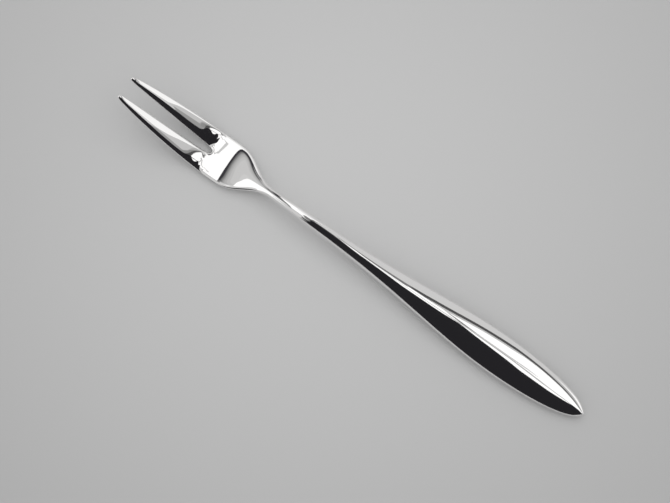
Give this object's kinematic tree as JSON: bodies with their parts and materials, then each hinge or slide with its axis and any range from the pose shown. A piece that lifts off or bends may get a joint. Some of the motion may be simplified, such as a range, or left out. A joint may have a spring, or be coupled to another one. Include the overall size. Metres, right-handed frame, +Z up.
{
  "type": "meat fork",
  "caption": "Slender serving fork with long paired tines, a shallow bowl, a raised neck and a hollow almond-shaped handle, for lifting cold meat.",
  "frame": {"origin": "middle of the fork's length and width, on the table that it lies on", "axes": "+X along the fork from the tines to the end of the handle, +Y across it, +Z up out of its face"},
  "size_m": [0.1645, 0.0136, 0.0152],
  "materials": {
    "polished_silver": "mirror polished",
    "silver_solder": "filed flush and polished",
    "tang_cement": "rough, set from a melt"
  },
  "bodies": {
    "root": {"fork_head": "polished_silver", "handle_upper_shell": "polished_silver", "handle_lower_shell": "polished_silver", "seam_solder": "silver_solder", "neck_solder": "silver_solder", "tang_cement": "tang_cement"}
  },
  "joints": []
}
